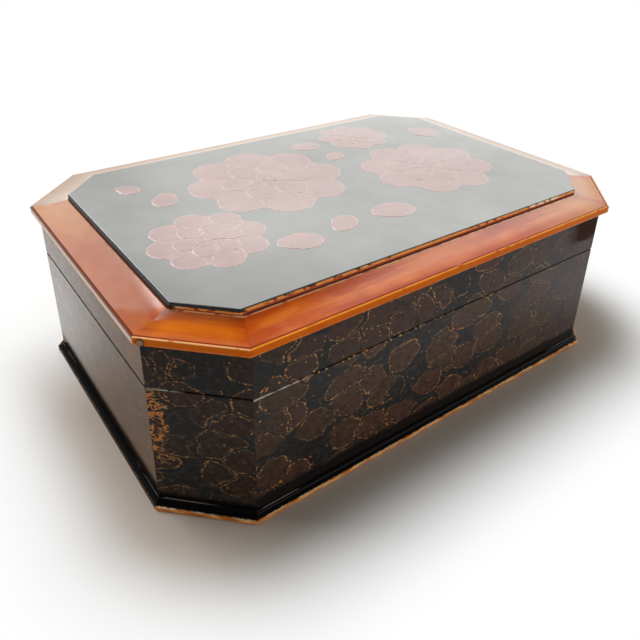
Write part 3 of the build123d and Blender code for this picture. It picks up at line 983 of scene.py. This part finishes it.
def hinge_brass():
    """Brushed brass with some tarnish."""
    finish = Finish("hinge_brass")
    brushed_place = finish.point(finish.along(RIGHT * BRASS_BRUSH_DRAW), finish.along(DEEP + UP))
    relief = finish.bump(finish.noise(brushed_place, size=0.5 * MM), BRASS_RELIEF)
    tarnish = finish.noise(finish.place, size=5 * MM, detail=4, roughness=0.6)
    colour = finish.mixed(tarnish.step(TARNISH_MIX), BRASS, BRASS_TARNISHED)
    roughness = BRASS_ROUGHNESS + TARNISH_ROUGHNESS * tarnish
    return finish.coat(base_color=colour, metallic=1.0, roughness=roughness, normal=relief)


# Modelled pieces

HAIR = 0.01 * MM  # leeway where edges are picked out by their place
PANEL_CORNER_ROUND = 0.6 * MM
PANEL_ARRIS_ROUND = 0.4 * MM
ROUND_STEPS = 4
SMOOTH_ANGLE = radians(40)


def start_piece(name):
    """Takes the new primitive in hand, with its size in its mesh, and goes into edit mode."""
    piece = bpy.context.object
    piece.name = name
    bpy.ops.object.transform_apply(location=True, rotation=True, scale=True)
    bpy.ops.object.mode_set(mode="EDIT")
    return piece


def pick(piece, kind, wanted):
    """Selects the vertices, edges or faces of a piece that a test wants, and nothing else."""
    mesh = bmesh.from_edit_mesh(piece.data)
    bpy.ops.mesh.select_mode(type={"verts": "VERT", "edges": "EDGE", "faces": "FACE"}[kind])
    bpy.ops.mesh.select_all(action="DESELECT")
    for part in getattr(mesh, kind):
        part.select_set(wanted(part))
    mesh.select_flush_mode()
    bmesh.update_edit_mesh(piece.data)


def upright(edge):
    """Whether an edge goes straight up."""
    start, end = (vertex.co for vertex in edge.verts)
    return abs(start.x - end.x) + abs(start.y - end.y) < 0.1 * HAIR


def put_on_lid(piece):
    """Lets a piece turn with the lid."""
    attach(piece, "lid")


def raised_panel():
    """The panel with its cut corners and rounded arris, a little lower than the inlay on it."""
    cut = PANEL_HIGH.x - (reach("top_panel", outward(1)) * sqrt(2) - PANEL_HIGH.y)
    size = PANEL_HIGH - PANEL_LOW - Vector((0, 0, INLAY))
    bpy.ops.object.select_all(action="DESELECT")
    bpy.ops.mesh.primitive_cube_add(size=1, location=(0, 0, PANEL_LOW.z + size.z / 2), scale=size)
    panel = start_piece("raised_panel")
    pick(panel, "edges", upright)
    bpy.ops.mesh.bevel(offset=cut, segments=1, affect="EDGES")
    pick(panel, "edges", upright)
    bpy.ops.mesh.bevel(offset=PANEL_CORNER_ROUND, segments=ROUND_STEPS, affect="EDGES")
    pick(panel, "edges", lambda edge: all(vertex.co.z > PANEL_TOP - HAIR for vertex in edge.verts))
    bpy.ops.mesh.bevel(offset=PANEL_ARRIS_ROUND, segments=ROUND_STEPS, affect="EDGES")
    pick(panel, "faces", lambda face: face.normal.z > 0.999)
    bpy.ops.mesh.inset(thickness=PANEL_ARRIS_ROUND)
    ledge = PANEL_TOP - LEDGE_DROP
    bpy.ops.mesh.select_all(action="SELECT")
    bpy.ops.mesh.bisect(plane_co=(0, 0, ledge), plane_no=UP)
    pick(panel, "faces", lambda face: abs(face.normal.z) < 0.1 and face.calc_center_median().z < ledge)
    bpy.ops.mesh.extrude_region_shrink_fatten(TRANSFORM_OT_shrink_fatten={"value": LEDGE_WIDTH})
    bpy.ops.object.mode_set(mode="OBJECT")
    bpy.ops.object.shade_smooth_by_angle(angle=SMOOTH_ANGLE)
    panel.data.materials.append(panel_lacquer())
    put_on_lid(panel)
    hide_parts("top_panel")


# The inlay: place of each rosette on the panel, its radius and its turn; then the loose petals,
# with half of their length as the radius

ROSETTES = [
    (*mm(-30, 24, 48), 10),
    (*mm(66, -12, 42), 31),
    (*mm(-94, -25, 31), 4),
    (*mm(62, 58, 25), 18),
]
LOOSE_PETALS = [
    (*mm(-58, -52, 12), 20),
    (*mm(-28, -48, 10), -35),
    (*mm(4, -50, 13), 15),
    (*mm(112, 40, 12), 75),
    (*mm(22, 60, 11), 10),
    (*mm(28, 34, 8), -30),
    (*mm(-92, 30, 10), 120),
    (*mm(-104, 54, 8), 60),
]
ROSETTE_RINGS = [  # name, number of petals, inner and outer reach in radii, and height
    ("outer", 8, 0.42, 1.0, 0.05 * MM),
    ("inner", 6, 0.1, 0.6, 0.1 * MM),
    ("heart", 4, 0.0, 0.22, 0.15 * MM),
]
ROSETTE_GROUND = 1.7  # width of the round ground under the rings, in radii
ROSETTE_GROUND_RISE = 0.02 * MM
LOOSE_PETAL_WIDTH = 1.5  # in half lengths
LOOSE_PETAL_TAPER = 0.85
LOOSE_PETAL_RISE = 0.1 * MM
RING_TAPER = 0.72
RING_FULLNESS = 1.96  # with 2, a ring's petals would touch where they are widest
RING_WIDEST = 0.65  # where a ring's petals are widest, from its inner to its outer reach
PETAL_POINTS = 20
PETAL_WAIST = 0.1  # of the length, from the middle back to where a petal tapers
INLAY_SUNK = 0.1 * MM
RIM_WIDTH = 0.55 * MM
RIM_SLOPE = 0.4 * MM
INLAY_FINISHES = (
    inlay_finish("petal_lacquer", (0.3, 0.7), PETAL_RED, PETAL_ROSE, size=7 * MM, detail=4, roughness=0.6),
    inlay_finish("petal_line", (0.35, 0.6), PETAL_ROSE, PETAL_LINE, size=3 * MM, detail=3),
)


def petal(name, place, length, width, taper, rise):
    """A thin petal with its base towards the middle of the panel and a pale rim."""
    bpy.ops.object.select_all(action="DESELECT")
    start = (place.x, place.y, PANEL_TOP - INLAY_SUNK)
    bpy.ops.mesh.primitive_circle_add(
        vertices=PETAL_POINTS, radius=length / 2, fill_type="NGON", location=start
    )
    piece = start_piece(name)
    bpy.ops.mesh.select_all(action="SELECT")
    bpy.ops.transform.resize(value=(1, width / length, 1))
    pick(piece, "verts", lambda vertex: vertex.co.x < place.x - PETAL_WAIST * length)
    bpy.ops.transform.resize(value=(1, taper, 1))
    bpy.ops.mesh.select_all(action="SELECT")
    bpy.ops.mesh.extrude_region_move(TRANSFORM_OT_translate={"value": (0, 0, INLAY_SUNK + rise)})
    bpy.ops.transform.resize(value=(1 - 2 * RIM_SLOPE / length, 1 - 2 * RIM_SLOPE / width, 1))
    pick(piece, "faces", lambda face: face.calc_center_median().z > PANEL_TOP + 0.9 * rise)
    bpy.ops.mesh.inset(thickness=RIM_WIDTH)
    for material in INLAY_FINISHES:
        piece.data.materials.append(material)
    mesh = bmesh.from_edit_mesh(piece.data)
    for face in mesh.faces:
        face.material_index = 0 if face.select else 1
    return piece


def ring(name, count, inner, outer, rise):
    """Petals in a ring round the middle of the panel."""
    widest = (1 - RING_WIDEST) * inner + RING_WIDEST * outer
    width = RING_FULLNESS * widest * sin(pi / count)
    place = Vector((middle((inner, outer)), 0))
    piece = petal(name, place, outer - inner, width, RING_TAPER, rise)
    bpy.ops.mesh.select_all(action="SELECT")
    turn = 2 * pi * (count - 1) / count
    bpy.ops.mesh.spin(steps=count - 1, dupli=True, angle=turn, center=(0, 0, 0), axis=UP)
    bpy.ops.mesh.select_all(action="SELECT")
    bpy.ops.mesh.normals_make_consistent(inside=False)
    bpy.ops.object.mode_set(mode="OBJECT")
    return piece


def move_inlay(turn, x, y):
    """Turns the piece in hand about the middle of the panel, then moves it to its place."""
    bpy.ops.object.mode_set(mode="EDIT")
    bpy.ops.mesh.select_all(action="SELECT")
    bpy.ops.transform.rotate(value=radians(turn), orient_axis="Z", center_override=(0, 0, 0))
    bpy.ops.transform.translate(value=(x, y, 0))
    bpy.ops.mesh.normals_make_consistent(inside=False)
    bpy.ops.object.mode_set(mode="OBJECT")


def join(pieces):
    """Makes one piece of several: the first keeps its name."""
    bpy.ops.object.select_all(action="DESELECT")
    for piece in pieces:
        piece.select_set(True)
    bpy.context.view_layer.objects.active = pieces[0]
    bpy.ops.object.join()
    return pieces[0]


def flower_inlay():
    """The rosettes, each of a round ground and three rings, and the loose petals as one piece."""
    for number, (x, y, radius, turn) in enumerate(ROSETTES, 1):
        name = f"rosette_{number}"
        width = ROSETTE_GROUND * radius
        layers = [petal(name, Vector((0, 0)), width, width, 1, ROSETTE_GROUND_RISE)]
        bpy.ops.object.mode_set(mode="OBJECT")
        for layer, count, inner, outer, rise in ROSETTE_RINGS:
            layers.append(ring(f"{name}_{layer}", count, inner * radius, outer * radius, rise))
        rosette = join(layers)
        move_inlay(turn, x, y)
        put_on_lid(rosette)
    loose = []
    for number, (x, y, half, turn) in enumerate(LOOSE_PETALS, 1):
        size = (2 * half, LOOSE_PETAL_WIDTH * half)
        name = f"loose_petals_{number}"
        loose.append(petal(name, Vector((0, 0)), *size, LOOSE_PETAL_TAPER, LOOSE_PETAL_RISE))
        move_inlay(turn, x, y)
    petals = join(loose)
    petals.name = "loose_petals"
    put_on_lid(petals)


def dress(node, material):
    """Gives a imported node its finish."""
    nodes[node].data.materials.clear()
    nodes[node].data.materials.append(material)


def dress_box():
    """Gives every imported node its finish, apart from the top panel, which is modelled anew."""
    for number, side in enumerate(SIDES):
        walls = pebble_lacquer(number)
        dress(f"body_wall_{side}", walls)
        dress(f"lid_wall_{side}", walls)
        dress(f"frame_{side}", amber_lacquer(number))
        dress(f"plinth_{side}", plinth_lacquer(number))
    inside = inside_lacquer()
    dress("bottom_board", inside)
    dress("lid_board", inside)
    dress("frame_corner_pegs", peg_wood())
    brass = hinge_brass()
    for node in nodes:
        if "hinge" in node or "screws" in node:
            dress(node, brass)


# Stage: floor, light and camera

FLOOR_SIZE = 12.0
FLOOR_DROP = 0.2 * MM
FLOOR_PALE = (0.76, 0.76, 0.76, 1)
FLOOR_PALER = (0.80, 0.80, 0.80, 1)
FLOOR_SHADED = (0.40, 0.345, 0.295, 1)
FLOOR_ROUGHNESS = 0.9
SHADE_ROUND = 0.04  # corner radius of the shade round the box
CLOSE_SHADE = (0.05, 0)  # from where the floor is at its palest, in to the box
FRONT_SHADE = (0.1, 0)  # that shade starts behind the middle of the box, and is full in front of it
SHADOW_REACH = (0.01, 0.075)  # from the box to where the floor is plain white


def floor():
    """A pale floor that keeps the shadow near the box, with a warm painted shade there in front, and is
    plain white further off.
    """
    bpy.ops.object.select_all(action="DESELECT")
    bpy.ops.mesh.primitive_plane_add(size=FLOOR_SIZE, location=(0, 0, -FLOOR_DROP))
    ground = bpy.context.object
    ground.name = "floor"
    finish = Finish("floor")
    across = (abs(finish.along(RIGHT)) - cad_high.x + SHADE_ROUND).maths("MAXIMUM", 0)
    deep = (abs(finish.along(DEEP)) - cad_high.y + SHADE_ROUND).maths("MAXIMUM", 0)
    away = straight(across, deep) - SHADE_ROUND
    finish.colour = finish.mixed(finish.noise(finish.place, size=0.4), FLOOR_PALE, FLOOR_PALER)
    # warm painted shade on the floor round the front of the box
    close = away.step(CLOSE_SHADE) * finish.along(DEEP).step(FRONT_SHADE)
    finish.paint(close, FLOOR_SHADED)
    finish.coat(base_color=finish.colour, roughness=FLOOR_ROUGHNESS, specular_ior_level=0.0)
    white = finish.node("Emission", None, {"Strength": 1.0})
    lift = away.step(SHADOW_REACH) * finish.seen()
    shade = Wire(finish, finish.shader.outputs[0])
    both = finish.node("MixShader", None, {0: lift, 1: shade, 2: white})
    finish.feed(finish.tree.nodes["Material Output"].inputs["Surface"], both)
    ground.data.materials.append(finish.owner)


SOFTBOXES = [  # name, place, width, height and brightness
    ("skylight", (-0.55, 1.0, 1.25), 1.2, 1.2, 6.5),
    ("fill", (0.6, -1.4, 0.35), 1.8, 0.5, 3.6),
]
LIT_MIDDLE = Vector((0, 0, 0.05))


def softbox(name, place, width, height, radiance):
    """A flat soft light of a size and brightness, turned to the middle of the box."""
    light = bpy.data.lights.new(name, "AREA")
    light.shape = "RECTANGLE"
    light.size = width
    light.size_y = height
    light.energy = radiance * width * height * pi
    lamp = bpy.data.objects.new(name, light)
    lamp.location = place
    lamp.rotation_euler = (LIT_MIDDLE - Vector(place)).to_track_quat("-Z", "Y").to_euler()
    lamp.visible_camera = False
    bpy.context.scene.collection.objects.link(lamp)


# The room, by how far a direction goes up, to the left and towards the bright end
BRIGHT_END = Vector((0.5, 0.86, 0))
BRIGHT_EDGE = (-0.3, 0.35)
ROOM_SLANT, ROOM_SLANT_DROP = 0.2, 0.05  # the lights' upper edges are lower on the left
WINDOW_SILL, WINDOW_HEAD = (0.34, 0.46), (0.66, 0.5)
WINDOW_LIGHT = 0.9
LOW_HEAD = (0.62, 0.46)
LOW_LIGHT = 1.5
PIER_EDGE = (-0.38, -0.27)
PIER_SHADE = 0.22
LEFT_END_EDGE, LEFT_END_HEAD = (-0.2, 0), (0.5, 0.4)
LEFT_END_LIGHT = 1.4
HORIZON_HEAD = (0.2, 0.06)
HORIZON_LIGHT = 0.7
ROOM_LIGHT = 0.08
ROOM_WHITE = (1.0, 1.0, 0.97, 1)


def daylight():
    """A room that is bright at one end and low down, and dim overhead and at the other end."""
    world = bpy.data.worlds.new("daylight")
    bpy.context.scene.world = world
    room = Finish("daylight", world)
    rise = room.along(UP)
    leftwards = room.along(-RIGHT)
    slanting = rise + ROOM_SLANT * leftwards - ROOM_SLANT_DROP
    window = rise.step(WINDOW_SILL) * slanting.step(WINDOW_HEAD)
    low = slanting.step(LOW_HEAD)
    pier = leftwards.step(PIER_EDGE)
    left_end = leftwards.step(LEFT_END_EDGE) * rise.step(LEFT_END_HEAD)
    bright = (LOW_LIGHT * low + WINDOW_LIGHT * window) * (1 - PIER_SHADE * pier) + LEFT_END_LIGHT * left_end
    bright = room.along(BRIGHT_END).step(BRIGHT_EDGE) * bright
    horizon = rise.step(HORIZON_HEAD) * HORIZON_LIGHT
    background = room.tree.nodes["Background"]
    room.feed(background.inputs["Color"], ROOM_WHITE)
    room.feed(background.inputs["Strength"], ROOM_LIGHT + (bright | horizon))
    for light in SOFTBOXES:
        softbox(*light)


SENSOR = 36
LENS = 36.97
CAMERA_NEAREST = 0.01
CAMERA_TURN = radians(-36.62)
CAMERA_RISE = radians(26.44)
CAMERA_ROLL = radians(1.19)
CAMERA_DISTANCE = 0.40287
CAMERA_AIM = Vector((-0.00383, 0.00298, 0.07103))
CAMERA_SHIFT = (-0.0040, -0.1438)


def camera():
    """A camera that stands where the photograph was taken from."""
    data = bpy.data.cameras.new("camera")
    data.sensor_width = SENSOR
    data.lens = LENS
    data.shift_x, data.shift_y = CAMERA_SHIFT
    data.clip_start = CAMERA_NEAREST
    eye = bpy.data.objects.new("camera", data)
    bpy.context.scene.collection.objects.link(eye)
    back = Vector(
        (sin(CAMERA_TURN) * cos(CAMERA_RISE), -cos(CAMERA_TURN) * cos(CAMERA_RISE), sin(CAMERA_RISE))
    )
    right = UP.cross(back).normalized()
    up = back.cross(right)
    rolled_right = right * cos(CAMERA_ROLL) + up * sin(CAMERA_ROLL)
    rolled_up = up * cos(CAMERA_ROLL) - right * sin(CAMERA_ROLL)
    turn = Matrix((rolled_right, rolled_up, back)).transposed().to_4x4()
    eye.matrix_world = Matrix.Translation(CAMERA_AIM + back * CAMERA_DISTANCE) @ turn
    bpy.context.scene.camera = eye


dress_box()
raised_panel()
flower_inlay()
floor()
daylight()
camera()
bpy.context.scene.view_settings.view_transform = "Standard"
